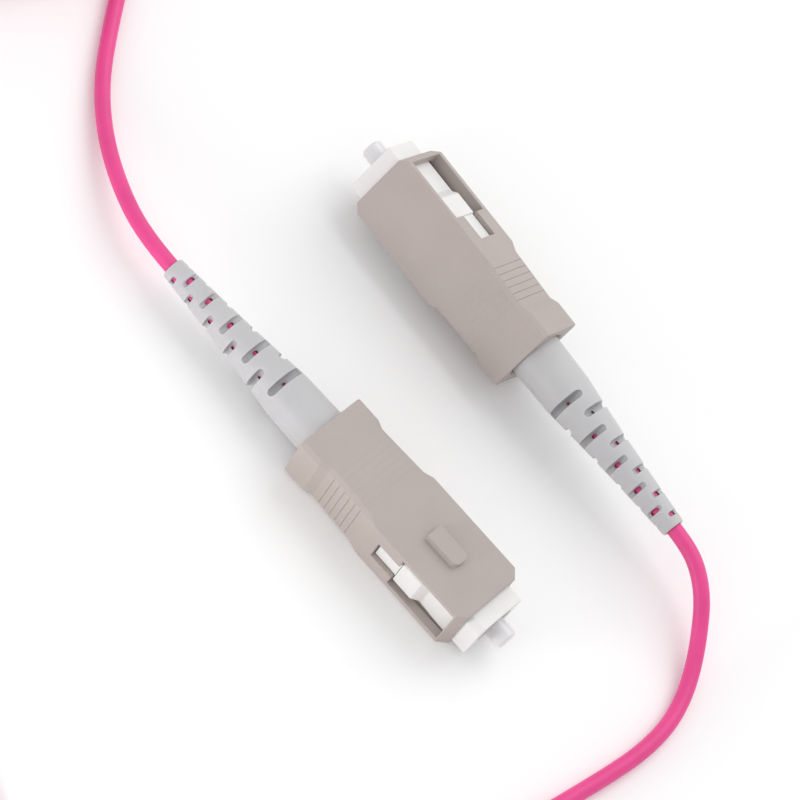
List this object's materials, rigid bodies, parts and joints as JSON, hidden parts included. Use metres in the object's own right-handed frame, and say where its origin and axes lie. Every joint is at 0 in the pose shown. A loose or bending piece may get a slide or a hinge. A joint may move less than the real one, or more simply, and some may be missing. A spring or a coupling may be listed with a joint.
{
  "type": "fibre patch cord",
  "caption": "Thin pink fibre patch cord with a keyed push-pull connector and slotted boot on each end, spare length coiled and tied.",
  "frame": {"origin": "centre of the box round the two connectors, on the surface that they lie on", "axes": "+Z up from that surface; +X right and +Y up in the picture, laid on that surface"},
  "size_m": [0.0823, 0.1389, 0.0115],
  "materials": {
    "grip_plastic": "fine satin moulding",
    "frame_plastic": "smooth white moulding",
    "ferrule_ceramic": "polished white ceramic",
    "flange_metal": "turned",
    "spring_steel": "drawn wire",
    "stop_ring_metal": "turned and plated",
    "yarn": "untwisted yarn",
    "crimp_metal": "drawn and crimped",
    "boot_rubber": "satin soft moulding",
    "jacket": "satin extruded jacket",
    "buffer": "satin extrusion",
    "tie_strap": "hook and loop strap"
  },
  "bodies": {
    "cord": {"plug_frame_a": "frame_plastic", "spring_a": "spring_steel", "stop_ring_a": "stop_ring_metal", "aramid_yarn_a": "yarn", "crimp_sleeve_a": "crimp_metal", "boot_a": "boot_rubber", "jacket_end_a": "jacket", "buffered_fibre_a": "buffer", "plug_frame_b": "frame_plastic", "spring_b": "spring_steel", "stop_ring_b": "stop_ring_metal", "aramid_yarn_b": "yarn", "crimp_sleeve_b": "crimp_metal", "boot_b": "boot_rubber", "jacket_end_b": "jacket", "buffered_fibre_b": "buffer", "cable_lead_a": "jacket", "cable_coil": "jacket", "cable_lead_b": "jacket", "coil_tie": "tie_strap"},
    "grip_a": {"grip_a": "grip_plastic"},
    "grip_b": {"grip_b": "grip_plastic"},
    "ferrule_a": {"ferrule_a": "ferrule_ceramic", "ferrule_flange_a": "flange_metal"},
    "ferrule_b": {"ferrule_b": "ferrule_ceramic", "ferrule_flange_b": "flange_metal"}
  },
  "joints": [
    {"name": "grip_a_slide", "type": "slide", "parent": "cord", "child": "grip_a", "axis": [-0.5906, 0.807, 0], "range_m": [0, 0.0018]},
    {"name": "ferrule_a_slide", "type": "slide", "parent": "cord", "child": "ferrule_a", "axis": [-0.5906, 0.807, 0], "range_m": [0, 0.001], "stiffness_N_per_m": 1000, "deforming": ["spring_a"]},
    {"name": "grip_b_slide", "type": "slide", "parent": "cord", "child": "grip_b", "axis": [0.5255, -0.8508, 0], "range_m": [0, 0.0018]},
    {"name": "ferrule_b_slide", "type": "slide", "parent": "cord", "child": "ferrule_b", "axis": [0.5255, -0.8508, 0], "range_m": [0, 0.001], "stiffness_N_per_m": 1000, "deforming": ["spring_b"]}
  ]
}
